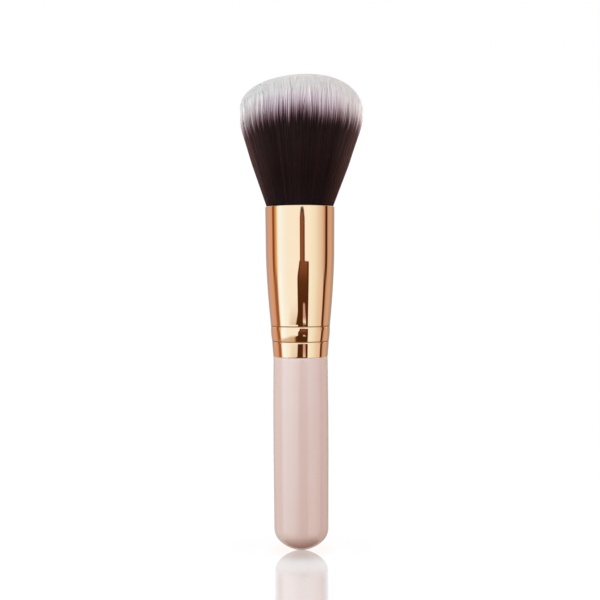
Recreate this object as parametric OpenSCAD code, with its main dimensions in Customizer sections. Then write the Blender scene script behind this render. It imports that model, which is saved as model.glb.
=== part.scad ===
// Makeup brush: a turned and lacquered handle, a drawn metal ferrule with two rolled grooves,
// and a flared tuft of filaments with a domed end, all on one axis.
// The handle's tip points down and the tuft up. The origin is the middle of the handle's grip.

/* [Handle] */
// Length of the handle that shows, from its tip to the ferrule
handle_len = 61; // [56:0.5:75]
// Radius of the grip, the even stretch where the handle is fullest
grip_r = 8.65; // [8.5:0.05:10]
// Length of the grip
grip_len = 14; // [10:0.5:18]
// Height of the grip's lower end above the tip
grip_low = 31; // [20:0.5:34]
// Radius of the handle just above its rounded tip
tip_r = 8.5; // [7:0.05:8.5]
// Height of the rounded tip
tip_h = 7.4; // [5:0.1:12]
// Length of the spigot that goes into the ferrule
spigot_len = 15; // [10:0.5:17]
// Chamfer on the end of the spigot
spigot_chamfer = 0.8; // [0.3:0.1:1.5]

/* [Ferrule] */
// Length of the ferrule
ferrule_len = 47; // [45:0.5:60]
// Outer radius of the ferrule at its mouth
mouth_r = 10.9; // [10.6:0.05:12]
// Outer radius of the ferrule where the taper ends and the mouth's even stretch starts
body_r = 10.78; // [10.4:0.02:10.84]
// Outer radius of the ferrule at the top of its narrow collar
neck_r = 9.33; // [9:0.01:10]
// Outer radius of the ferrule's lower end
end_r = 8.63; // [8.2:0.01:8.9]
// Wall of the ferrule
ferrule_wall = 0.4; // [0.3:0.05:0.6]
// Height of the narrow collar, from the ferrule's lower end to the start of its taper
collar_h = 10.3; // [10.2:0.1:14]
// Height at which the taper reaches the body's radius
taper_top = 34; // [28:0.5:40]
// Height of the middle of the lower groove
low_groove_h = 4.6; // [4:0.1:6]
// Height of the middle of the upper groove
high_groove_h = 9.4; // [9:0.1:9.5]
// Width of each groove
groove_w = 0.8; // [0.6:0.1:1.2]
// Depth of each groove
groove_d = 0.12; // [0.1:0.02:0.3]
// How far the bead stands out between the grooves
bead_h = 0.1; // [0.06:0.02:0.4]

/* [Tuft] */
// Length of the tuft that shows, from the ferrule's mouth to the top of its dome
tuft_len = 42; // [38:0.5:55]
// Half width of the tuft where it is fullest, across the brush
tuft_r = 19.5; // [17:0.1:22]
// Half depth of the tuft there, from its middle to its photographed front
tuft_depth_r = 17.6; // [16:0.1:22]
// Height of the dome above the fullest place
dome_h = 12.8; // [10:0.1:15]
// Height over which the flare bends upright below the fullest place
bend_h = 6.4; // [4:0.1:9]
// Lean of the tuft across the brush, in degrees
tuft_lean = 1.1; // [0:0.1:3]
// Depth of the packed root below the ferrule's mouth
root_depth = 19; // [16:0.5:21]
// How far the packed root stops below the mouth, where the strands part
part_depth = 0.2; // [0.1:0.05:0.3]
// Length of the taper at a strand's pointed end
point_len = 4; // [2:0.5:5]
// Number of strands
strand_count = 400; // [300:1:500]
// Thickness of a strand against the space between strands
strand_share = 0.4; // [0.3:0.01:0.44]

/* [Binding and glue] */
// Height of the binding thread's lowest turn above the packed root's lower end
binding_up = 3; // [2:0.1:5]
// Thickness of the binding thread
thread_d = 0.6; // [0.4:0.05:0.8]
// Number of turns of the binding thread
thread_turns = 5; // [3:1:7]
// Depth of the waist that the binding pulls into the packed root
waist_d = 0.9; // [0.5:0.1:1.5]
// Height of the resin cup's wall above the packed root's lower end
resin_up = 9; // [7.5:0.5:11]
// Thickness of the resin cup's floor below the packed root
resin_floor = 2.5; // [1.5:0.1:3]
// Height of the adhesive round the spigot
adhesive_h = 12; // [8:0.5:14]

/* [Fits] */
// Gap between the spigot and the ferrule's narrow end
spigot_gap = 0.15; // [0.1:0.01:0.25]
// Step from the ferrule's lower end down to the handle
shoulder_step = 0.12; // [0.01:0.01:0.2]
// Gap between the packed root and the ferrule's wall
root_gap = 0.1; // [0.05:0.01:0.3]

/* [Hidden] */
$fn = 96;

// Heights of the joins between the pieces, above the handle's tip
mouth_z = handle_len + ferrule_len;
full_z = mouth_z + tuft_len - dome_h;
bend_z = full_z - bend_h;
part_z = mouth_z - part_depth;
grip_z = grip_low + grip_len / 2;

// Exponents of the handle's rounded tip, the ferrule's taper and the tuft's dome
tip_z_power = 2.4;
tip_r_power = 1.4;
taper_power = 1.65;
dome_power = 2.25;

// Number of straight steps in each curve of an outline
tip_steps = 20;
groove_steps = 6;
bead_steps = 10;
taper_steps = 14;

// Radius where the spigot goes into the ferrule, and the shoulder that the ferrule sits on
spigot_r = end_r - ferrule_wall - spigot_gap;
shoulder_r = end_r - shoulder_step;

// Radius of the packed root at the ferrule's mouth
packed_r = mouth_r - ferrule_wall - root_gap;

// Turn between one strand and the next, which spaces them evenly over a disc
golden_turn = 180 * (3 - sqrt(5));

// Number of sides of a strand
strand_sides = 3;

// Radius of the rounded tip at height z
function tip_radius(z) = tip_r * pow(1 - pow(1 - z / tip_h, tip_z_power), 1 / tip_r_power);

// Outer radius of the ferrule without its grooves and bead, at height h above its lower end
function plain_radius(h) =
    h < collar_h ? end_r + (neck_r - end_r) * h / collar_h :
    h < taper_top
        ? body_r - (body_r - neck_r) * pow((taper_top - h) / (taper_top - collar_h), taper_power)
        : body_r + (mouth_r - body_r) * (h - taper_top) / (ferrule_len - taper_top);

// Points of a rolled groove whose middle is at height h
function groove_points(h) = [
    for (i = [0 : groove_steps])
    let (z = h - groove_w / 2 + groove_w * i / groove_steps)
    [plain_radius(z) - groove_d * sin(180 * i / groove_steps), z]
];

// Points of the bead between the two grooves
bead_low = low_groove_h + groove_w / 2;
bead_high = high_groove_h - groove_w / 2;
bead_points = [
    for (i = [1 : bead_steps - 1])
    let (z = bead_low + (bead_high - bead_low) * i / bead_steps)
    [plain_radius(z) + bead_h * sin(180 * i / bead_steps), z]
];

// Points of the ferrule's taper
taper_points = [
    for (i = [0 : taper_steps])
    let (z = collar_h + (taper_top - collar_h) * i / taper_steps)
    [plain_radius(z), z]
];

// The ferrule's outer outline from its lower end to its mouth, and its inner one
ferrule_outline = concat(
    [[end_r, 0]],
    groove_points(low_groove_h),
    bead_points,
    groove_points(high_groove_h),
    taper_points,
    [[mouth_r, ferrule_len]]
);
bore_outline = [for (p = ferrule_outline) [p.x - ferrule_wall, p.y]];
bore_table = [for (p = bore_outline) [p.y, p.x]];

// Radius of the ferrule's bore at height h above its lower end
function bore_radius(h) = lookup(h, bore_table);

// Stretch of the bore's outline between two heights above the ferrule's lower end
function bore_stretch(low, high) = concat(
    [[bore_radius(low), low]],
    [for (p = bore_outline) if (p.y > low && p.y < high) p],
    [[bore_radius(high), high]]
);

// Heights inside the ferrule, above its lower end
root_h = ferrule_len - root_depth;
resin_low = root_h - resin_floor;
resin_high = root_h + resin_up;
binding_low = root_h + binding_up;
binding_high = binding_low + thread_d * thread_turns;

// Radius of the packed root below the mouth, and of the waist under the binding thread
root_r = bore_radius(root_h) - root_gap - waist_d;
waist_r = root_r - waist_d;

// Half width or depth of the tuft at height z above the tip, for its fullest half width or depth:
// straight at first and then bending upright
function tuft_reach(z, full_r) =
    let (bend_drop = (full_r - packed_r) * bend_h / (2 * (full_z - part_z) - bend_h))
    z >= full_z ? full_r :
    z > bend_z ? full_r - bend_drop * pow((full_z - z) / bend_h, 2) :
    packed_r + (full_r - bend_drop - packed_r) * (z - part_z) / (bend_z - part_z);

// Place at height z on the leaning tuft of a point given as shares of its half width and depth
function tuft_point(shares, z) = [
    shares.x * tuft_reach(z, tuft_r) + max(z - part_z, 0) * tan(tuft_lean),
    shares.y * tuft_reach(z, tuft_depth_r),
    z
];

// Half width of a strand as a share of the tuft's half width
strand_r_share = strand_share * sqrt(PI / strand_count);

// Middle of strand i on the tuft's section, as shares of the tuft's half width and depth
function strand_middle(i) =
    let (out_share = sqrt((i + 0.5) / strand_count) * (1 - strand_r_share), turn = golden_turn * i)
    [out_share * cos(turn), out_share * sin(turn)];

// Height of strand i's end on the dome, which is round while the tuft is oval
function end_height(i) =
    let (
        middle = strand_middle(i),
        dome_share = norm([middle.x, middle.y * tuft_depth_r / max(tuft_r, tuft_depth_r)])
    )
    full_z + dome_h * pow(1 - pow(dome_share, dome_power), 1 / dome_power);

// Corners of strand i at height z, round a middle that keeps its shares of the tuft
function strand_ring(i, z) = [
    for (k = [0 : strand_sides - 1])
    let (a = golden_turn * i + 360 * k / strand_sides)
    tuft_point(strand_middle(i) + strand_r_share * [cos(a), sin(a)], z)
];

// Faces that join each ring of a strand to the next
function ring_faces(rings) = [
    for (j = [0 : rings - 2], k = [0 : strand_sides - 1])
    let (
        a = j * strand_sides + k,
        b = j * strand_sides + (k + 1) % strand_sides
    )
    each [[a, a + strand_sides, b], [b, a + strand_sides, b + strand_sides]]
];

// Faces that close the last ring of a strand to its pointed end
function end_faces(rings) = [
    for (k = [0 : strand_sides - 1])
    let (first = (rings - 1) * strand_sides)
    [first + k, rings * strand_sides, first + (k + 1) % strand_sides]
];

// One strand, from the packed root to its pointed end on the dome
module strand(i) {
    top = end_height(i);
    levels = [part_z - part_depth, part_z, bend_z, top - point_len];
    rings = len(levels);
    polyhedron(
        points = concat([for (z = levels) each strand_ring(i, z)], [tuft_point(strand_middle(i), top)]),
        faces = concat([[for (k = [0 : strand_sides - 1]) k]], ring_faces(rings), end_faces(rings))
    );
}

// Puts a shape drawn from the handle's tip upwards into the part's own frame
module from_tip() {
    translate([0, 0, -grip_z]) children();
}

// Puts a shape drawn from the ferrule's lower end upwards into the part's own frame
module from_ferrule() {
    translate([0, 0, handle_len - grip_z]) children();
}

// Turned handle: rounded tip, even grip and a spigot for the ferrule
module handle() {
    spigot_top = handle_len + spigot_len;
    color([0.87, 0.77, 0.73]) from_tip() rotate_extrude() polygon(concat(
        [for (i = [0 : tip_steps]) let (z = tip_h * pow(i / tip_steps, 2)) [tip_radius(z), z]],
        [
            [grip_r, grip_low],
            [grip_r, grip_low + grip_len],
            [shoulder_r, handle_len],
            [spigot_r, handle_len],
            [spigot_r, spigot_top - spigot_chamfer],
            [spigot_r - spigot_chamfer, spigot_top],
            [0, spigot_top]
        ]
    ));
}

// Drawn metal sleeve that tapers from its mouth to a grooved collar
module ferrule() {
    inside = [for (i = [len(bore_outline) - 1 : -1 : 0]) bore_outline[i]];
    color([0.91, 0.66, 0.49]) from_ferrule() rotate_extrude()
        polygon(concat(ferrule_outline, inside));
}

// Packed root of the tuft, drawn in at its waist by the binding thread
module packed_root() {
    top_h = ferrule_len - part_depth;
    rotate_extrude() polygon(concat(
        [
            [0, root_h],
            [root_r, root_h],
            [root_r, binding_low - waist_d],
            [waist_r, binding_low],
            [waist_r, binding_high],
            [root_r, binding_high + waist_d],
            [root_r, resin_high]
        ],
        [for (p = bore_stretch(resin_high + waist_d, top_h)) [p.x - root_gap, p.y]],
        [[0, top_h]]
    ));
}

// Tuft of filaments: strands that part at the ferrule's mouth, flare to an oval and end on a dome
module bristles() {
    color([0.14, 0.08, 0.08]) union() {
        from_ferrule() packed_root();
        from_tip() for (i = [0 : strand_count - 1]) strand(i);
    }
}

// Thread wound round the waist of the packed root, turn beside turn
module binding_thread() {
    color([0.92, 0.9, 0.84]) from_ferrule() rotate_extrude() polygon(concat(
        [[waist_r, binding_low]],
        [
            for (t = [0 : thread_turns - 1], a = [-75 : 25 : 75])
            [
                waist_r + thread_d / 2 + thread_d / 2 * cos(a),
                binding_low + thread_d * (t + 0.5) + thread_d / 2 * sin(a)
            ]
        ],
        [[waist_r, binding_high]]
    ));
}

// Cup of cast resin under and round the packed root, against the ferrule's bore
module root_resin() {
    cup_r = root_r + root_gap;
    color([0.86, 0.78, 0.6]) from_ferrule() rotate_extrude() polygon(concat(
        [[0, resin_low]],
        bore_stretch(resin_low, resin_high),
        [
            [cup_r, resin_high],
            [cup_r, root_h],
            [0, root_h]
        ]
    ));
}

// Wedge of adhesive between the spigot and the ferrule's collar
module handle_adhesive() {
    color([0.93, 0.91, 0.86]) from_ferrule() rotate_extrude() polygon(concat(
        bore_stretch(0, adhesive_h),
        [[spigot_r, adhesive_h], [spigot_r, 0]]
    ));
}

handle();
ferrule();
bristles();
binding_thread();
root_resin();
handle_adhesive();
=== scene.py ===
import math

import bmesh
import bpy
import numpy as np
from mathutils import Matrix, Vector
from mathutils.kdtree import KDTree


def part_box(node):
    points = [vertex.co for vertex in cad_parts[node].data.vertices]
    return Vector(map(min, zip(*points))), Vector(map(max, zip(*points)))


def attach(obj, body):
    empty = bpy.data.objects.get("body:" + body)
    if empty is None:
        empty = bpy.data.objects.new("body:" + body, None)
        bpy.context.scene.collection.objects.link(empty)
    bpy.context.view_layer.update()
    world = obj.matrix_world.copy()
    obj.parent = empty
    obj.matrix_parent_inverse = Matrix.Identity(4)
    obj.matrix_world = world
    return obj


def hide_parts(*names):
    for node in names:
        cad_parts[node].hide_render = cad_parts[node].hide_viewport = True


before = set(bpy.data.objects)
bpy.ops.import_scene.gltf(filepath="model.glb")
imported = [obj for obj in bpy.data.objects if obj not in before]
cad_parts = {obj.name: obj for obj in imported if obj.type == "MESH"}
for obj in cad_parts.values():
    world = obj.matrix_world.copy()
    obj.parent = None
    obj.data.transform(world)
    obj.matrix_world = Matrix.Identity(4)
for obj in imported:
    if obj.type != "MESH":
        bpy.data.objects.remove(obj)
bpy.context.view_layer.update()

MM = 0.001
GOLDEN_TURN = math.pi * (3 - math.sqrt(5))

# Heights on the brush's axis, from the frame
TIP_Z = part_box("handle")[0].z
SPIGOT_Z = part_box("handle")[1].z
COLLAR_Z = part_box("ferrule")[0].z
MOUTH_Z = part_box("ferrule")[1].z
TOP_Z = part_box("bristles")[1].z

# Ferrule: radii, wall and rolled forms, and heights above its lower end
FERRULE_LEN = MOUTH_Z - COLLAR_Z
MOUTH_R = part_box("ferrule")[1].x
BODY_R = 10.78 * MM
NECK_R = 9.33 * MM
END_R = 8.63 * MM
FERRULE_WALL = 0.4 * MM
COLLAR_H = 10.3 * MM
TAPER_TOP = 34 * MM
TAPER_POWER = 1.65
LOW_GROOVE_H = 4.74 * MM
HIGH_GROOVE_H = 9.49 * MM
GROOVE_W = 0.68 * MM
GROOVE_D = 0.07 * MM
BEAD_D = 0.095 * MM
BEAD_INSET = 0.023 * MM
BEAD_TAPER = 0.04 * MM
TOE_SLOPE = 0.003
EDGE_R = 0.12 * MM

# Handle: radii, and heights above its tip
GRIP_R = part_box("handle")[1].x
GRIP_LOW = 31 * MM
GRIP_LEN = 14 * MM
TIP_R = 8.5 * MM
TIP_H = 7.4 * MM
TIP_Z_POWER = 2.4
TIP_R_POWER = 1.4
SHOULDER_R = 8.51 * MM
SHOULDER_EDGE = 0.15 * MM
SPIGOT_R = 8.08 * MM
SPIGOT_BEVEL = 1 * MM

# Tuft: half widths, and the heights and powers that bend its outline
TUFT_R = 19.58 * MM
TUFT_DEPTH_R = 17.7 * MM
PACKED_R = 10.37 * MM
DOME_H = 12.1 * MM
DOME_POWER = 2.27
DOME_TILT = 0.7
BEND_H = 5.3 * MM
FULL_Z = TOP_Z - 12.8 * MM
BEND_Z = FULL_Z - BEND_H
ROOT_Z = MOUTH_Z - 0.3 * MM
TUFT_LEAN = math.tan(math.radians(1.1))
SPREAD_R = 0.75 * MM
SPREAD_H = 2.6 * MM
SWELL = 0.07 * MM

# Tuft's dark core: its width as a share of the tuft's, its depth below the dome and in the ferrule
CORE_SHARE = 0.86
CORE_SINK = 8 * MM
CORE_ROOT = 6 * MM

# Filaments: counts and sizes
LOCKS = 8
LOCK_SIZE = 4096
OUTER_LOCKS = 2
FILAMENTS = LOCKS * LOCK_SIZE
FILAMENT_R = 0.077 * MM
MOUTH_THICKNESS = 0.72
TAPER_LEN = 5.5 * MM
TAPER_CURVE = 0.5

# Filaments: depths of the rings below the tip, in the inner locks and in the outer ones
INNER_RINGS = [0, 0.6 * MM, 1.6 * MM, 3.2 * MM, 6 * MM, 12 * MM]
OUTER_RINGS = [0, 0.6 * MM, 1.6 * MM, 3.2 * MM, 5.5 * MM, 8.5 * MM, 12 * MM, 16 * MM, 60 * MM]

# Filaments: how unevenly they stand, gather and stray, mostly as shares of the tuft's half width
CLUMPS = 2600
FINE_CLUMPS = 11000
CLUMP_NOISE = 0.36
PLACE_NOISE = 0.003
GATHER = 0.007
STRAY = 0.07
STRAY_SHARE = 0.1
STRAY_LEN = 14 * MM
RISE_NOISE = 0.02 * MM
THICKNESS_NOISE = 0.15

# Dye: how its UV cells and depths are packed, and the length over which the tips' colours change
TONES = 128
DYE_REACH = 6 * MM
TIP_SPAN = 60 * MM
TONE_SPAN = 12 * MM

# Dye line: its depth in millimetres, over places across the tuft from -1 to 1
DYE_SLOPE = 2.5
DYE_ROUNDING = 0.03
DYE_LEVELLING = 1.75
DYE_SKEW = 0.6
DYE_LIFT = 0.2
DYE_CLUMP_NOISE = 0.15

# Dye line's waves: depth in millimetres, place and width
DYE_WAVES = ((0.95, 0.35, 0.15), (-0.3, -0.5, 0.22), (-0.35, 0.65, 0.14))

# Steps round and along the turned pieces
FERRULE_SIDES = 192
HANDLE_SIDES = 160
CORE_SIDES = 96
FLOOR_SIDES = 96
EDGE_STEPS = 5

# Studio that the metal mirrors: (degrees to the right of the front, colour there)
LEFT_RIM = [
    (-157, (0.5, 0.45, 0.43)), (-144, (0.55, 0.437, 0.43)),
    (-134, (0.667, 0.497, 0.47)), (-126, (0.72, 0.51, 0.455)),
]
UPPER_LEFT = [
    (-108, (0.71, 0.51, 0.41)), (-104, (0.3, 0.1, 0.025)), (-98.5, (0.24, 0.075, 0.012)),
    (-95.5, (0.43, 0.185, 0.055)), (-91, (0.71, 0.44, 0.24)), (-86, (0.75, 0.61, 0.41)),
    (-82, (0.98, 1.1, 1.04)), (-78, (0.99, 1.39, 1.64)),
]
LOWER_LEFT = [
    (-108, (0.69, 0.47, 0.32)), (-102, (0.5, 0.26, 0.13)), (-98, (0.35, 0.14, 0.06)),
    (-90, (0.35, 0.15, 0.08)), (-87, (0.5, 0.34, 0.26)), (-84, (0.95, 1.0, 1.05)),
    (-80, (1.04, 1.38, 1.62)), (-75, (1.05, 1.5, 1.9)),
]
FRONT = [
    (-69, (1.03, 1.46, 1.88)), (-61, (1.02, 1.37, 1.76)), (-49, (1.02, 1.31, 1.5)),
    (-38, (1.02, 1.28, 1.45)), (-18, (1.02, 1.28, 1.45)), (-5, (1.05, 1.25, 1.4)),
    (30, (1.05, 1.27, 1.38)), (43, (0.96, 1.22, 1.3)), (54, (0.945, 1.14, 1.15)),
    (66, (0.88, 0.94, 0.92)),
]
UPPER_RIGHT = [
    (79, (0.81, 0.75, 0.74)), (88, (0.67, 0.52, 0.46)), (93, (0.48, 0.34, 0.25)),
    (94.5, (0.08, 0.024, 0.003)), (103, (0.08, 0.024, 0.003)), (107, (0.68, 0.5, 0.41)),
]
LOWER_RIGHT = [
    (79, (0.86, 0.82, 0.78)), (87, (0.82, 0.78, 0.7)), (89.5, (0.08, 0.024, 0.003)),
    (97.5, (0.1, 0.03, 0.005)), (101, (0.5, 0.33, 0.23)), (107, (0.68, 0.5, 0.41)),
]
RIGHT_RIM = [
    (126, (0.7, 0.54, 0.46)), (134, (0.57, 0.44, 0.37)), (144, (0.46, 0.38, 0.34)),
    (155, (0.47, 0.43, 0.4)),
]

# Soft lamps: name, place, width and height in metres, power in watts and colour
LAMPS = (
    ("lamp_left", (-0.4, -0.45, 0.16), 0.5, 0.36, 2.8, (1, 1, 1)),
    ("lamp_right", (0.3, -0.5, 0.16), 0.4, 0.36, 2.1, (1, 0.965, 0.96)),
    ("side_left", (-0.55, -0.12, 0.15), 0.3, 0.34, 2.7, (0.85, 0.97, 1)),
    ("side_right", (0.45, -0.1, 0.3), 0.3, 0.4, 2.1, (1, 0.9, 0.88)),
)

# Photo: its width in pixels, its scale, and the camera's roll in degrees
PHOTO_WIDTH = 600
PIXELS_PER_MM = 3.175
CAMERA_ROLL = -0.28

FLOOR_R = 160 * MM


class Socket:
    """A value at each point of a surface, with arithmetic that adds Math nodes."""

    def __init__(self, graph, socket):
        self.graph = graph
        self.socket = socket

    def math(self, operation, *values):
        return self.graph.node("ShaderNodeMath", {"operation": operation}, dict(enumerate(values)))

    def __add__(self, other):
        return self.math("ADD", self, other)

    def __radd__(self, other):
        return self.math("ADD", other, self)

    def __sub__(self, other):
        return self.math("SUBTRACT", self, other)

    def __rsub__(self, other):
        return self.math("SUBTRACT", other, self)

    def __mul__(self, other):
        return self.math("MULTIPLY", self, other)

    def __rmul__(self, other):
        return self.math("MULTIPLY", other, self)

    def __truediv__(self, other):
        return self.math("DIVIDE", self, other)

    def __pow__(self, other):
        return self.math("POWER", self, other)

    def __abs__(self):
        return self.math("ABSOLUTE", self)

    def floor(self):
        return self.math("FLOOR", self)

    def clamped(self):
        """The value, but at least 0 and at most 1."""
        raised = self.math("MAXIMUM", self, 0)
        return self.math("MINIMUM", raised, 1)

    def band(self, low, high, soft):
        """1 between low and high, and 0 outside, over soft edges."""
        rise = self.ramp(low - soft / 2, low + soft / 2)
        fall = self.ramp(high - soft / 2, high + soft / 2)
        return rise - fall

    def ramp(self, low, high, start=0.0, end=1.0):
        """A smooth step from start at low to end at high, where low may be the larger."""
        settings = {"interpolation_type": "SMOOTHSTEP"}
        places = {"Value": self, "From Min": low, "From Max": high, "To Min": start, "To Max": end}
        return self.graph.node("ShaderNodeMapRange", settings, places)


class Graph:
    """The nodes of one material or world."""

    def __init__(self, tree):
        self.tree = tree
        tree.nodes.clear()

    def node(self, kind, settings=None, inputs=None, output=0):
        """Adds a node, sets its properties, feeds its sockets and returns one of its outputs."""
        made = self.tree.nodes.new(kind)
        for name, value in (settings or {}).items():
            if name == "stops":
                self.set_stops(made.color_ramp, value)
            else:
                setattr(made, name, value)
        for name, value in (inputs or {}).items():
            self.feed(made.inputs[name], value)
        return Socket(self, made.outputs[output])

    def feed(self, socket, value):
        """Links a value to a socket, or sets the socket to a number or a colour."""
        if isinstance(value, Socket):
            self.tree.links.new(value.socket, socket)
        elif socket.type == "RGBA":
            socket.default_value = (*value, 1)
        else:
            socket.default_value = value

    def set_stops(self, ramp, stops):
        """Gives a colour ramp its stops of (place, colour)."""
        while len(ramp.elements) < len(stops):
            ramp.elements.new(1)
        for element, (place, colour) in zip(ramp.elements, stops):
            element.position = place
            element.color = (*colour, 1)

    def mix(self, share, first, second):
        """A colour between two colours."""
        inputs = {0: share, 6: first, 7: second}
        return self.node("ShaderNodeMix", {"data_type": "RGBA"}, inputs, output=2)

    def tinted(self, share, colour, tint):
        """A colour multiplied by a tint, by a share of it."""
        inputs = {0: share, 6: colour, 7: tint}
        settings = {"data_type": "RGBA", "blend_type": "MULTIPLY"}
        return self.node("ShaderNodeMix", settings, inputs, output=2)

    def colours(self, value, stops):
        """A colour ramp read at a value."""
        return self.node("ShaderNodeValToRGB", {"stops": stops}, {0: value})

    def noise(self, scale, detail, roughness=0.5, vector=None):
        """Cloudy noise from 0 to 1, on the object's own coordinates or on a vector."""
        place = vector or self.node("ShaderNodeTexCoord", output=3)
        inputs = {"Vector": place, "Scale": scale, "Detail": detail, "Roughness": roughness}
        return self.node("ShaderNodeTexNoise", None, inputs)

    def streaks(self, x, y, z, detail, roughness=0.5):
        """Noise that is scaled by itself along each of the object's own axes."""
        vector = self.node("ShaderNodeTexCoord", output=3)
        scaled = self.node("ShaderNodeMapping", None, {"Vector": vector, "Scale": (x, y, z)})
        return self.noise(1.0, detail, roughness, scaled)

    def part(self, vector, axis):
        """One of a vector's numbers."""
        return self.node("ShaderNodeSeparateXYZ", None, {0: vector}, output=axis)

    def place(self, axis):
        """One of the object's own coordinates, in metres."""
        return self.part(self.node("ShaderNodeTexCoord", output=3), axis)

    def bump(self, height, distance):
        """A normal that tilts with a height, which stands for the distance where it is 1."""
        inputs = {"Height": height, "Distance": distance, "Strength": 1.0}
        return self.node("ShaderNodeBump", None, inputs)

    def finish(self, shader, kind="ShaderNodeOutputMaterial"):
        """Links the shader to the output."""
        end = self.tree.nodes.new(kind)
        self.tree.links.new(shader.socket, end.inputs["Surface"])


def new_material(name, build):
    """A material whose Principled sockets are what build(graph) returns."""
    material = bpy.data.materials.new(name)
    material.use_nodes = True
    graph = Graph(material.node_tree)
    graph.finish(graph.node("ShaderNodeBsdfPrincipled", None, build(graph)))
    return material


def rose_gold(graph):
    """Polished and anodised metal, faintly wavy from drawing, with painted shade darkening its
    grooves, and with marks.
    """
    height = graph.place(2) - COLLAR_Z
    half = GROOVE_W / 2
    # Painted shade: the two grooves are painted a darker brown, standing in for the shade inside
    # them.
    low = height.band(LOW_GROOVE_H, LOW_GROOVE_H + half, half / 2)
    high = height.band(HIGH_GROOVE_H, HIGH_GROOVE_H + half, half / 2)
    groove_painted_shade = (0.42, 0.21, 0.1)
    gold = graph.mix(graph.noise(90, 3), (0.95, 0.63, 0.41), (0.92, 0.6, 0.38))
    marks = graph.streaks(2600, 2600, 260, 4, 0.6)
    wave = graph.streaks(160, 160, 40, 1)
    return {
        "Base Color": graph.mix(low + high, gold, groove_painted_shade),
        "Metallic": 1.0,
        "Roughness": 0.025 + 0.03 * marks.ramp(0.55, 0.8),
        "Normal": graph.bump(wave, 0.02 * MM),
    }


def pink_lacquer(graph):
    """Glossy nude-pink lacquer over turned wood, with a trace of its grain."""
    cloud = graph.noise(70, 3)
    grain = graph.streaks(900, 900, 35, 3)
    grain_pink = (0.44, 0.36, 0.336)
    pink = graph.mix(cloud, (0.413, 0.329, 0.304), (0.395, 0.311, 0.286))
    orange_peel = graph.noise(420, 2)
    return {
        "Base Color": graph.mix(grain.ramp(0.45, 0.9) * 0.25, pink, grain_pink),
        "Roughness": 0.3 + 0.1 * cloud,
        "Coat Weight": 1.0,
        "Coat Roughness": 0.13,
        "Normal": graph.bump(orange_peel, 0.004 * MM),
    }


def filament(graph):
    """Fine filaments, dark below a dye line that differs between them, and pale above it, with
    painted light and shade: lighter and redder at the sides, lighter near the mouth, and darker at
    the tips and on the left of the pale zone.
    """
    uv = graph.node("ShaderNodeUVMap", {"uv_map": "OFBake"})
    cell = (graph.part(uv, 0) * TONES).floor()
    tone = graph.node("ShaderNodeTexWhiteNoise", {"noise_dimensions": "1D"}, {"W": cell})
    dye_line = (cell / (TONES - 1) - 0.5) * (2 * DYE_REACH)
    from_tip = (1 - graph.part(uv, 1)) * TIP_SPAN
    down = from_tip / TONE_SPAN
    past_dye = (from_tip - dye_line) / TONE_SPAN

    up = graph.place(2) - MOUTH_Z
    across = graph.place(0) - TUFT_LEAN * up
    share = across / TUFT_R
    # Painted rim light: the dark dyed part is lighter and redder towards the tuft's left and right
    # sides, standing in for light shining through the filaments there.
    flare, offset = 0.33, 0.015
    side_start, side_width, side_power = 0.46, 0.5, 2.3
    aside = abs(across / (PACKED_R + SPREAD_R + flare * up) + offset)
    side = ((aside - side_start) / side_width).clamped() ** side_power

    # Painted light: the dark dyed colour is lighter and bluer within 10 mm of the mouth.
    root = graph.mix(up.ramp(10 * MM, 0), (0.0108, 0.0053, 0.0052), (0.018, 0.0108, 0.0135))
    dark = graph.mix(side, root, (0.072, 0.036, 0.034))
    brown = graph.mix(side, (0.03, 0.0145, 0.0135), (0.09, 0.044, 0.039))
    shade = graph.mix(tone * 0.4, dark, brown)

    # Painted light and shade: the very tips are painted darker to offset the stronger light from
    # above, and the grey darkens further down as painted shade.
    grey_with_painted_shade = graph.colours(down, [
        (0.0, (0.655, 0.652, 0.648)),
        (0.06, (0.71, 0.702, 0.7)),
        (0.16, (0.735, 0.722, 0.725)),
        (0.26, (0.68, 0.665, 0.675)),
        (0.38, (0.61, 0.59, 0.605)),
        (0.55, (0.52, 0.495, 0.51)),
    ])
    lilac = graph.mix(abs(share).ramp(0.35, 0.9), (1, 0.93, 1), (1, 0.975, 0.95))
    pale = graph.tinted(down.ramp(0.03, 0.3), grey_with_painted_shade, lilac)
    # Painted shade: the pale zone is darker on the left part of the front, a little below the tips.
    left_painted_shade = share.band(-0.78, -0.2, 0.3) * down.ramp(0.06, 0.25)
    pale = graph.tinted(left_painted_shade, pale, (0.89, 0.87, 0.88))
    faded = graph.colours(past_dye, [
        (0.2, (1, 1, 1)),
        (0.34, (0.93, 0.9, 0.915)),
        (0.46, (0.7, 0.615, 0.65)),
        (0.58, (0.38, 0.275, 0.3)),
        (0.7, (0.16, 0.096, 0.104)),
        (0.82, (0.07, 0.038, 0.04)),
    ])
    body = graph.tinted(1.0, pale, faded)
    return {
        "Base Color": graph.mix(past_dye.ramp(0.6, 0.88), body, shade),
        "Roughness": 0.45 + 0.2 * tone,
        "Specular IOR Level": 0.12,
    }


def dark_root(graph):
    """The dark inside of the tuft, under the filaments."""
    streaks = graph.streaks(4000, 4000, 60, 2)
    return {
        "Base Color": graph.mix(streaks, (0.02, 0.011, 0.01), (0.035, 0.018, 0.016)),
        "Roughness": 0.6,
    }


def spun_thread(graph):
    """Undyed thread, with fine bands and fibres."""
    twist = graph.streaks(5000, 5000, 9000, 2)
    return {
        "Base Color": graph.mix(twist, (0.84, 0.81, 0.72), (0.68, 0.64, 0.55)),
        "Roughness": 0.8,
        "Normal": graph.bump(twist, 0.05 * MM),
    }


def amber_resin(graph):
    """Cast resin with a faint cloud."""
    cloud = graph.noise(300, 3)
    return {
        "Base Color": graph.mix(cloud, (0.72, 0.58, 0.34), (0.62, 0.47, 0.24)),
        "Roughness": 0.15 + 0.1 * cloud,
    }


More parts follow.
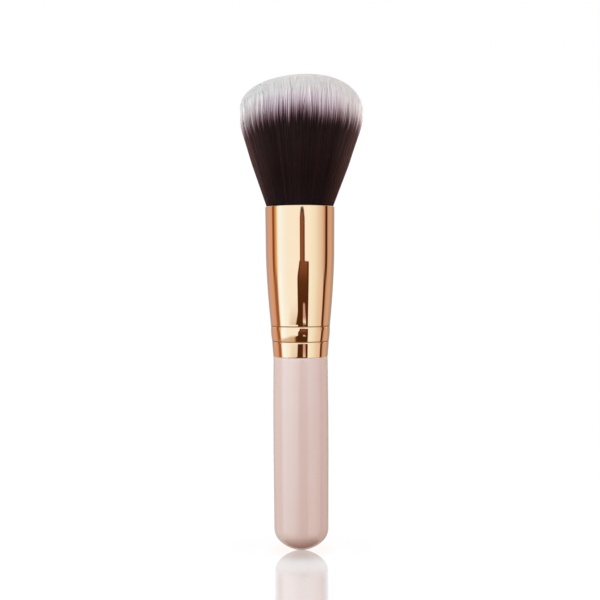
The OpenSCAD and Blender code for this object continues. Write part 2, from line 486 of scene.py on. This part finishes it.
def white_adhesive(graph):
    """Set white adhesive, slightly uneven."""
    cloud = graph.noise(500, 3)
    return {
        "Base Color": graph.mix(cloud, (0.86, 0.83, 0.76), (0.78, 0.75, 0.68)),
        "Roughness": 0.5,
        "Normal": graph.bump(cloud, 0.05 * MM),
    }


def add_object(name, mesh):
    """An object at the origin that shows the mesh."""
    piece = bpy.data.objects.new(name, mesh)
    bpy.context.scene.collection.objects.link(piece)
    return piece


def turned(name, outline, steps, material):
    """A piece of revolution from an outline of (radius, height), closed where it meets the axis."""
    bm = bmesh.new()
    points = [bm.verts.new((r, 0, z)) for r, z in outline]
    edges = [bm.edges.new(pair) for pair in zip(points, points[1:])]
    if outline[0][0] and outline[-1][0]:
        edges.append(bm.edges.new((points[-1], points[0])))
    bmesh.ops.spin(
        bm, geom=points + edges, cent=(0, 0, 0), axis=(0, 0, 1), angle=math.tau,
        steps=steps, use_merge=True, use_duplicate=False,
    )
    bmesh.ops.remove_doubles(bm, verts=bm.verts, dist=1e-8)
    bmesh.ops.recalc_face_normals(bm, faces=bm.faces)
    for face in bm.faces:
        face.smooth = True
    mesh = bpy.data.meshes.new(name)
    bm.to_mesh(mesh)
    bm.free()
    mesh.materials.append(material)
    return add_object(name, mesh)


def arc(centre, radius, start, end):
    """Points on an arc about (radius, height) centre, with its angles in degrees."""
    turn = end - start
    angles = [math.radians(start + turn * i / EDGE_STEPS) for i in range(EDGE_STEPS + 1)]
    return [(centre[0] + radius * math.cos(a), centre[1] + radius * math.sin(a)) for a in angles]


def plain_radius(h):
    """The ferrule's outer radius without its grooves and bead, at height h above its lower end."""
    if h < COLLAR_H:
        return END_R + (NECK_R - END_R) * h / COLLAR_H
    if h < TAPER_TOP:
        share = (TAPER_TOP - h) / (TAPER_TOP - COLLAR_H)
        return BODY_R - (BODY_R - NECK_R) * share ** TAPER_POWER
    return BODY_R + (MOUTH_R - BODY_R) * (h - TAPER_TOP) / (FERRULE_LEN - TAPER_TOP)


def ferrule_radius(h):
    """The ferrule's outer radius with its two rolled grooves and the bead between them."""
    bead_low = LOW_GROOVE_H + GROOVE_W / 2
    bead_high = HIGH_GROOVE_H - GROOVE_W / 2
    r = plain_radius(h)
    if h < HIGH_GROOVE_H:
        r += BEAD_TAPER * (h - LOW_GROOVE_H) / (HIGH_GROOVE_H - LOW_GROOVE_H) - BEAD_INSET
    if h < LOW_GROOVE_H:
        r += TOE_SLOPE * (h - LOW_GROOVE_H)
    for middle in (LOW_GROOVE_H, HIGH_GROOVE_H):
        across = (h - middle) / (GROOVE_W / 2)
        if abs(across) < 1:
            r -= GROOVE_D * math.cos(math.pi / 2 * across) ** 2
    if bead_low < h < bead_high:
        r += BEAD_D * math.sin(math.pi * (h - bead_low) / (bead_high - bead_low))
    return r


def make_ferrule(material):
    """Drawn metal sleeve with rounded edges, finer than the solid it stands for."""
    toe_steps, groove_steps, upper_steps, inside_every = 14, 134, 122, 6
    groove_low, groove_high = LOW_GROOVE_H - MM, HIGH_GROOVE_H + MM
    heights = [
        *np.linspace(EDGE_R, groove_low, toe_steps, endpoint=False),
        *np.linspace(groove_low, groove_high, groove_steps, endpoint=False),
        *np.linspace(groove_high, FERRULE_LEN - EDGE_R, upper_steps),
    ]
    outside = [(ferrule_radius(h), COLLAR_Z + float(h)) for h in heights]
    inside = [(r - FERRULE_WALL, z) for r, z in reversed(outside[::inside_every])]
    high_z, low_z = MOUTH_Z - EDGE_R, COLLAR_Z + EDGE_R
    end_r = ferrule_radius(EDGE_R)
    mouth = arc((MOUTH_R - EDGE_R, high_z), EDGE_R, 0, 90)[1:]
    lip = arc((MOUTH_R - FERRULE_WALL + EDGE_R, high_z), EDGE_R, 90, 180)[:-1]
    heel = arc((end_r - FERRULE_WALL + EDGE_R, low_z), EDGE_R, 180, 270)[1:]
    toe = arc((end_r - EDGE_R, low_z), EDGE_R, 270, 360)[:-1]
    outline = outside + mouth + lip + inside + heel + toe
    return turned("ferrule_shell", outline, FERRULE_SIDES, material)


def tip_radius(h):
    """The handle's radius at height h above its tip, up to where the tip's curve ends."""
    return TIP_R * (1 - (1 - h / TIP_H) ** TIP_Z_POWER) ** (1 / TIP_R_POWER)


def make_handle(material):
    """Turned handle: rounded tip, grip, shoulder with an eased edge, and spigot in the ferrule."""
    tip_steps, shaft_steps = 40, 12
    handle_len = COLLAR_Z - TIP_Z
    spigot_top = SPIGOT_Z - TIP_Z
    edge_h = handle_len - SHOULDER_EDGE
    tip = [TIP_H * (i / tip_steps) ** 2 for i in range(1, tip_steps + 1)]
    outline = [(0, 0)] + [(tip_radius(h), h) for h in tip]
    shaft = [(TIP_R, TIP_H), (GRIP_R, GRIP_LOW), (GRIP_R, GRIP_LOW + GRIP_LEN), (SHOULDER_R, edge_h)]
    for (r0, h0), (r1, h1) in zip(shaft, shaft[1:]):
        for i in range(1, shaft_steps + 1):
            outline.append((r0 + (r1 - r0) * i / shaft_steps, h0 + (h1 - h0) * i / shaft_steps))
    outline += arc((SHOULDER_R - SHOULDER_EDGE, edge_h), SHOULDER_EDGE, 0, 90)[1:]
    outline += [(SPIGOT_R, handle_len), (SPIGOT_R, spigot_top - SPIGOT_BEVEL)]
    outline += [(SPIGOT_R - SPIGOT_BEVEL, spigot_top), (0, spigot_top)]
    return turned("handle_lacquered", [(r, TIP_Z + h) for r, h in outline], HANDLE_SIDES, material)


def tuft_radius(z, full=TUFT_R):
    """Half width of the tuft at height z: quick to part at the mouth, then straight, then upright."""
    up = np.clip(z - MOUTH_Z, 0, None)
    spread = SPREAD_R * (1 - np.exp(-up / SPREAD_H))
    spread += SWELL * np.sin(math.tau * up / (BEND_Z - MOUTH_Z))
    slope = (full - PACKED_R - SPREAD_R) / (FULL_Z - MOUTH_Z - BEND_H / 2)
    drop = slope * BEND_H / 2
    bending = full - drop * (np.clip(FULL_Z - z, 0, None) / BEND_H) ** 2
    return np.where(z > BEND_Z, bending, PACKED_R + spread + slope * up)


def dome_height(place):
    """Height of the dome over places in the tuft's section, which are shares of its half width."""
    x = place[:, 0]
    share = np.hypot(x, place[:, 1] * TUFT_DEPTH_R / TUFT_R)
    rise = DOME_H * (1 - np.clip(share, 0, 1) ** DOME_POWER) ** (1 / DOME_POWER)
    return FULL_Z + rise + (DOME_TILT * x - x ** 3) * MM


def make_core(material):
    """The tuft's dark inside, in which the inner filaments are rooted."""
    side_steps, top_steps = 40, 24
    heights = np.linspace(ROOT_Z - CORE_ROOT, FULL_Z - CORE_SINK / 2, side_steps)
    side = [(float(CORE_SHARE * tuft_radius(z)), float(z)) for z in heights]
    top_r, top_z = side[-1]
    dome = DOME_H - CORE_SINK / 2
    shares = np.linspace(1, 0, top_steps)[1:]
    top = [(float(s * top_r), float(top_z + dome * math.sqrt(1 - s * s))) for s in shares]
    core = turned("tuft_core", [(0, side[0][1])] + side + top, CORE_SIDES, material)
    points = read(core.data.vertices, "co", 3)
    points[:, 1] *= tuft_radius(points[:, 2], TUFT_DEPTH_R) / tuft_radius(points[:, 2])
    points[:, 0] += TUFT_LEAN * np.clip(points[:, 2] - MOUTH_Z, 0, None)
    core.data.vertices.foreach_set("co", points.astype(np.float32).ravel())
    return core


def filament_blank(rings):
    """One three-sided filament of unit height, with evenly spaced rings between its ends."""
    bm = bmesh.new()
    bmesh.ops.create_cone(
        bm, cap_ends=True, cap_tris=True, segments=3, radius1=1, radius2=0, depth=1,
        matrix=Matrix.Translation((0, 0, 0.5)),
    )
    bmesh.ops.remove_doubles(bm, verts=bm.verts, dist=1e-6)
    for ring in range(1, rings + 1):
        bmesh.ops.bisect_plane(
            bm, geom=bm.verts[:] + bm.edges[:] + bm.faces[:], dist=1e-6,
            plane_co=(0, 0, ring / (rings + 1)), plane_no=(0, 0, 1),
        )
    bmesh.ops.triangulate(bm, faces=bm.faces[:])
    uv = bm.loops.layers.uv.new("OFBake")
    cell_half, stretch = 0.4, 1.15
    for face in bm.faces:
        face.smooth = True
        middle = math.atan2(*reversed(face.calc_center_median().xy))
        for loop in face.loops:
            level = loop.vert.co.z
            side = math.atan2(loop.vert.co.y, loop.vert.co.x) - middle
            across = math.sin(side) * stretch if level < 1 else 0.0
            loop[uv].uv = (0.5 + cell_half * max(-1.0, min(1.0, across)), level)
    mesh = bpy.data.meshes.new("filament_blank")
    bm.to_mesh(mesh)
    bm.free()
    return mesh


def copies(mesh, count):
    """A mesh of count copies of a mesh, one after another and all in one place."""
    holder = add_object("copies", mesh)
    rows = holder.modifiers.new("rows", "ARRAY")
    rows.use_relative_offset = False
    rows.count = count
    scene_graph = bpy.context.evaluated_depsgraph_get()
    made = bpy.data.meshes.new_from_object(holder.evaluated_get(scene_graph))
    bpy.data.objects.remove(holder)
    return made


def read(items, name, width):
    """A property of all items, such as a mesh's vertices, as rows of width numbers."""
    values = np.empty(len(items) * width, np.float32)
    items.foreach_get(name, values)
    return values.reshape(-1, width).astype(float)


def sunflower(count):
    """Places spread evenly over a circle of radius 1, along a spiral from its middle."""
    number = np.arange(count)
    share = np.sqrt((number + 0.5) / count)
    turn = GOLDEN_TURN * number
    return np.stack([share * np.cos(turn), share * np.sin(turn)], 1)


def within(place):
    """The places, with those outside the circle of radius 1 drawn in to its edge."""
    return place / np.clip(np.hypot(*place.T), 1, None)[:, None]


def clumps(place, count, draw):
    """Middles of clumps spread over the tuft's section, and the nearest of them to each place."""
    middles = sunflower(count)
    middles += draw.normal(0, CLUMP_NOISE / math.sqrt(count), middles.shape)
    tree = KDTree(count)
    for index, (x, y) in enumerate(middles):
        tree.insert((x, y, 0), index)
    tree.balance()
    nearest = np.array([tree.find((x, y, 0))[1] for x, y in place])
    return middles, nearest


def dye_depth(x):
    """How deep the dye line lies, in millimetres, at places across the tuft from -1 to 1."""
    depth = DYE_SLOPE * np.hypot(x, DYE_ROUNDING) - DYE_LEVELLING * x ** 4 - DYE_SKEW * x ** 3
    for wave_depth, middle, width in DYE_WAVES:
        depth += wave_depth * np.exp(-((x - middle) / width) ** 2)
    return depth - DYE_LIFT


def plan_filaments():
    """Where each filament stands and strays, how far it rises and where its dye line lies."""
    draw = np.random.default_rng(7)
    place = sunflower(FILAMENTS)
    place = within(place + draw.normal(0, PLACE_NOISE, place.shape))
    x = place[:, 0]
    middles, clump = clumps(place, CLUMPS, draw)
    fine_clump = clumps(place, FINE_CLUMPS, draw)[1]

    # Some fine clumps stray, and less so at the tuft's left and right edges
    strays = draw.uniform(0, 1, FINE_CLUMPS) < STRAY_SHARE
    shift = (strays[:, None] * draw.normal(0, STRAY, (FINE_CLUMPS, 2)))[fine_clump]
    freedom = np.clip((0.95 - abs(x)) / 0.35, 0.2, 1)
    stray = within(place + freedom[:, None] * shift)

    # The dye line is most ragged at the middle of the tuft
    rise = draw.normal(0, RISE_NOISE, CLUMPS)[clump] + draw.normal(0, RISE_NOISE, FILAMENTS)
    dye = dye_depth(x) + draw.normal(0, DYE_CLUMP_NOISE, CLUMPS)[clump]
    dye += (0.65 - 0.45 * abs(x)) * draw.normal(0, 1, FINE_CLUMPS)[fine_clump]
    dye += (1.05 - 0.8 * abs(x) + 0.8 * x ** 2) * draw.normal(0, 1, FILAMENTS)
    return {
        "place": place,
        "stray": stray,
        "middle": middles[clump],
        "rise": rise,
        "dye": MM * dye,
        "roll": draw.uniform(0, math.tau, FILAMENTS),
        "thick": draw.uniform(1 - THICKNESS_NOISE, 1 + THICKNESS_NOISE, FILAMENTS),
    }


def make_lock(index, plan, material):
    """One lock of the tuft: thousands of tapered filaments between two shares of its width."""
    part = slice(index * LOCK_SIZE, (index + 1) * LOCK_SIZE)
    depths = OUTER_RINGS if index >= LOCKS - OUTER_LOCKS else INNER_RINGS
    blank = filament_blank(len(depths) - 2)
    local = read(blank.vertices, "co", 3)
    ring = np.rint((1 - local[:, 2]) * (len(depths) - 1)).astype(int)
    side = np.arctan2(local[:, 1], local[:, 0])

    place, stray = plan["place"][part], plan["stray"][part]
    top = dome_height(stray) + plan["rise"][part]
    depth = np.array(depths)[ring] * np.ones((LOCK_SIZE, 1))
    depth = np.minimum(depth, (top - ROOT_Z)[:, None])
    z = top[:, None] - depth
    width = tuft_radius(z) - FILAMENT_R
    deep = tuft_radius(z, TUFT_DEPTH_R) - FILAMENT_R
    gather = GATHER * np.clip((z - MOUTH_Z) / (TOP_Z - MOUTH_Z), 0, 1) ** 2
    line = place[:, None] + gather[..., None] * (plan["middle"][part] - place)[:, None]
    line += np.clip(1 - depth / STRAY_LEN, 0, 1)[..., None] * (stray - place)[:, None]
    taper = np.clip(depth / TAPER_LEN, 0, 1) ** TAPER_CURVE
    up_share = np.clip((z - MOUTH_Z) / (BEND_Z - MOUTH_Z), 0, 1)
    packed = MOUTH_THICKNESS + (1 - MOUTH_THICKNESS) * up_share
    r = FILAMENT_R * plan["thick"][part][:, None] * taper * packed
    angle = side[None] + plan["roll"][part][:, None]
    lean = TUFT_LEAN * (z - MOUTH_Z)
    points = np.stack([
        line[..., 0] * width + lean + r * np.cos(angle),
        line[..., 1] * deep + r * np.sin(angle),
        z,
    ], -1)

    # The UV map's first number says where a filament's dye line is, its second how far the tip is
    mesh = copies(blank, LOCK_SIZE)
    mesh.vertices.foreach_set("co", points.astype(np.float32).ravel())
    layer = mesh.uv_layers["OFBake"].uv
    uv = read(layer, "vector", 2).reshape(LOCK_SIZE, -1, 2)
    cell = np.clip((plan["dye"][part] / (2 * DYE_REACH) + 0.5) * TONES, 0, TONES - 1).astype(int)
    uv[..., 0] = (cell[:, None] + uv[..., 0]) / TONES
    corner = np.empty(len(mesh.loops), np.int32)
    mesh.loops.foreach_get("vertex_index", corner)
    uv[..., 1] = 1 - depth.ravel()[corner].reshape(LOCK_SIZE, -1) / TIP_SPAN
    layer.foreach_set("vector", uv.astype(np.float32).ravel())
    mesh.update()
    mesh.materials.clear()
    mesh.materials.append(material)
    return add_object(f"tuft_lock_{index + 1}", mesh)


# In the studio, turn and rise are in degrees: to the right of the front and above the level
def wall(graph, turn, stops):
    """The studio's wall all round, from stops of (degrees to the right of the front, colour)."""
    return graph.colours((turn + 180) / 360, [((at + 180) / 360, colour) for at, colour in stops])


def studio_walls(graph, turn, rise):
    """Tall lamps and dark gaps all round, which change a little below the level of the camera."""
    upper = wall(graph, turn, LEFT_RIM + UPPER_LEFT + FRONT + UPPER_RIGHT + RIGHT_RIM)
    lower = wall(graph, turn, LEFT_RIM + LOWER_LEFT + FRONT + LOWER_RIGHT + RIGHT_RIM)
    return graph.mix(rise.ramp(-2.5, -6), upper, lower)


def with_shade(graph, turn, rise, desk_left, walls):
    """The walls with a shade low on the left of the desk."""
    top = turn.ramp(-60, -30, -13.5, -9.8)
    strength = (desk_left - turn).ramp(0, 40, 1, 0.82)
    area = rise.ramp(top, -17.5) * (6 - turn).ramp(0, 6) * strength
    return graph.mix(area, walls, (0.66, 0.57, 0.43))


def with_stand(graph, turn, rise, walls):
    """The walls with a dark stand in front, which is the pointed mark on the ferrule's upper half."""
    middle, half_width, top, point = 7.5, 8.35, 2.26, 0.6
    across = (turn - middle) / half_width
    half = ((top - rise) / point).clamped() ** 0.3
    area = (half - abs(across)).ramp(-0.06, 0.1) * (2.3 - rise).ramp(0, 0.1)
    tone = graph.mix(across.band(-0.75, 0.45, 0.4), (0.15, 0.055, 0.015), (0.26, 0.118, 0.06))
    tone = graph.mix(rise.ramp(1.7, 2.2), tone, (0.05, 0.02, 0.003))
    return graph.mix(area, walls, tone)


def with_desk(graph, turn, rise, left, walls):
    """The walls with a dark desk in front, which is the wider mark below the stand's."""
    right, top = 29.7, -3
    soft = rise.ramp(-12.5, -16.5, 1, 7)
    sides = ((turn - left) / soft).ramp(-1, 1) * (right - turn).ramp(-1, 1)
    area = sides * rise.ramp(top, top - 0.25)
    inside = (turn - left).ramp(2.5, 6) * (right - turn).ramp(3, 8)
    inside_tone = graph.mix(rise.ramp(-8, -3.8), (0.11, 0.042, 0.017), (0.23, 0.095, 0.04))
    tone = graph.mix(inside * rise.ramp(-12.5, -7), (0.085, 0.03, 0.008), inside_tone)
    return graph.mix(area, walls, tone)


def with_slit(graph, turn, rise, walls):
    """The walls with a bright slit in the desk, which lights the mark's lower end."""
    left, right = 9.7, rise.ramp(-11.3, -13.8, 17.3, 21.2)
    sides = (turn - left).ramp(-1, 1) * (right - turn).ramp(-1, 1)
    area = sides * rise.ramp(-10.7, -11.2) * rise.ramp(-14.25, -13.85)
    tone = graph.mix(rise.ramp(-13, -13.9), (0.64, 0.47, 0.45), (1.04, 1.12, 1.12))
    return graph.mix(area, walls, tone)


def studio_world():
    """White to the camera and in sharp mirrors, even on matt surfaces, and a studio in the metal."""
    world = bpy.data.worlds.new("studio")
    bpy.context.scene.world = world
    world.use_nodes = True
    graph = Graph(world.node_tree)
    direction = graph.node("ShaderNodeTexCoord", output=0)
    x, y, z = (graph.part(direction, axis) for axis in range(3))
    turn = x.math("ARCTAN2", x, 0 - y) * (180 / math.pi)
    rise = z.math("ARCSINE", z) * (180 / math.pi)

    desk_left = rise.ramp(-3, -7, -3, -9.8) - rise.ramp(-12, -15.5, 0, 12)
    walls = studio_walls(graph, turn, rise)
    walls = with_shade(graph, turn, rise, desk_left, walls)
    walls = with_stand(graph, turn, rise, walls)
    walls = with_desk(graph, turn, rise, desk_left, walls)
    walls = with_slit(graph, turn, rise, walls)

    # Pale ground, dark straight below, and bright high up behind
    walls = graph.mix(rise.ramp(-22, -36), walls, (0.8, 0.68, 0.57))
    walls = graph.mix(rise.ramp(-42, -52), walls, (0.25, 0.12, 0.07))
    walls = graph.mix(rise.ramp(6.5, 8.5) * abs(turn).ramp(110, 130), walls, (1.05, 1.35, 1.5))

    even = graph.mix(rise.ramp(-60, 60), (0.58, 0.57, 0.56), (0.62, 0.62, 0.62))
    reflected = graph.node("ShaderNodeLightPath", output="Is Glossy Ray")
    mirrored = graph.node("ShaderNodeLightPath", output="Is Singular Ray")
    seen = graph.node("ShaderNodeLightPath", output="Is Camera Ray")
    colour = graph.mix(reflected, even, walls)
    colour = graph.mix(mirrored, colour, (1.06, 1.06, 1.06))
    colour = graph.mix(seen, colour, (1, 1, 1))
    background = graph.node("ShaderNodeBackground", None, {"Color": colour})
    graph.finish(background, "ShaderNodeOutputWorld")


def soft_lamp(name, place, width, height, power, colour):
    """A large soft lamp aimed at the middle of the brush, which no reflection shows."""
    light = bpy.data.lights.new(name, "AREA")
    light.shape = "RECTANGLE"
    light.size, light.size_y = width, height
    light.energy = power
    light.color = colour
    lamp = bpy.data.objects.new(name, light)
    lamp.location = place
    middle = Vector((0, 0, (TIP_Z + TOP_Z) / 2))
    lamp.rotation_euler = (middle - Vector(place)).to_track_quat("-Z", "Y").to_euler()
    lamp.visible_glossy = False
    bpy.context.scene.collection.objects.link(lamp)


def glossy_floor():
    """A round pale plate under the tip, which keeps the brush's shadow and a faint reflection."""
    bm = bmesh.new()
    bmesh.ops.create_circle(bm, cap_ends=True, segments=FLOOR_SIDES, radius=FLOOR_R)
    bmesh.ops.translate(bm, verts=bm.verts, vec=(0, 0, TIP_Z))
    mesh = bpy.data.meshes.new("floor")
    bm.to_mesh(mesh)
    bm.free()
    floor = add_object("floor", mesh)
    material = bpy.data.materials.new("pale_floor")
    material.use_nodes = True
    graph = Graph(material.node_tree)
    seen = graph.node("ShaderNodeLightPath", output="Is Camera Ray")
    away = (graph.place(0) ** 2 + graph.place(1) ** 2) ** 0.5

    # To the camera: pale, with a painted pink glow near the tip standing in for the handle's
    # reflected colour, a shadow, and a mirror whose share changes away from the tip
    pale = graph.mix(away.ramp(6 * MM, 13 * MM), (1, 0.88, 0.84), (1, 1, 1))
    white = graph.node("ShaderNodeEmission", None, {"Color": pale, "Strength": 0.9})
    matt = graph.node("ShaderNodeBsdfDiffuse", None, {"Color": (0.055, 0.055, 0.055)})
    lit = graph.node("ShaderNodeAddShader", None, {0: white, 1: matt})
    gloss = graph.node("ShaderNodeBsdfGlossy", None, {"Color": (1, 1, 1), "Roughness": 0.0})
    near, middle, far = 0.45, 0.26, 0.6
    share = away.ramp(8 * MM, 17 * MM, near, middle) + away.ramp(19 * MM, 35 * MM, 0, far - middle)
    top = graph.node("ShaderNodeMixShader", None, {0: share, 1: lit, 2: gloss})

    # To the brush: a dark warm tone, which bounces little light up
    under = graph.node("ShaderNodeBsdfDiffuse", None, {"Color": (0.33, 0.16, 0.12)})
    graph.finish(graph.node("ShaderNodeMixShader", None, {0: seen, 1: under, 2: top}))
    mesh.materials.append(material)
    floor.visible_glossy = False


def photo_camera():
    """A level view of the whole brush from the front, with the lens shifted down a little."""
    distance = 350 * MM
    shown_width = PHOTO_WIDTH / PIXELS_PER_MM * MM
    photo_middle = 78.7 * MM
    aside = -0.05 * MM
    drop = 9.3 * MM
    data = bpy.data.cameras.new("camera")
    data.sensor_width = 36
    data.lens = data.sensor_width * distance / shown_width
    data.shift_y = -drop / shown_width
    data.clip_start = 0.01
    camera = bpy.data.objects.new("camera", data)
    camera.location = (aside, -distance, TIP_Z + photo_middle + drop)
    level = Vector((0, 1, 0)).to_track_quat("-Z", "Y").to_matrix()
    roll = Matrix.Rotation(math.radians(CAMERA_ROLL), 3, "Z")
    camera.rotation_euler = (level @ roll).to_euler()
    bpy.context.scene.collection.objects.link(camera)
    bpy.context.scene.camera = camera


photo_camera()
studio_world()
for lamp in LAMPS:
    soft_lamp(*lamp)
glossy_floor()
bpy.context.scene.view_settings.view_transform = "Standard"

metal = new_material("rose_gold", rose_gold)
lacquer = new_material("pink_lacquer", pink_lacquer)
filaments = new_material("filament", filament)
root_dark = new_material("dark_root", dark_root)

for node, name, finish_of in (
    ("binding_thread", "spun_thread", spun_thread),
    ("root_resin", "amber_resin", amber_resin),
    ("handle_adhesive", "white_adhesive", white_adhesive),
):
    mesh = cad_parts[node].data
    mesh.materials.clear()
    mesh.materials.append(new_material(name, finish_of))

handle = make_handle(lacquer)
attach(handle, "root")
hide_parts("handle")

ferrule = make_ferrule(metal)
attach(ferrule, "root")
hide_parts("ferrule")

plan = plan_filaments()
for piece in [make_core(root_dark)] + [make_lock(i, plan, filaments) for i in range(LOCKS)]:
    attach(piece, "root")
    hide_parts("bristles")
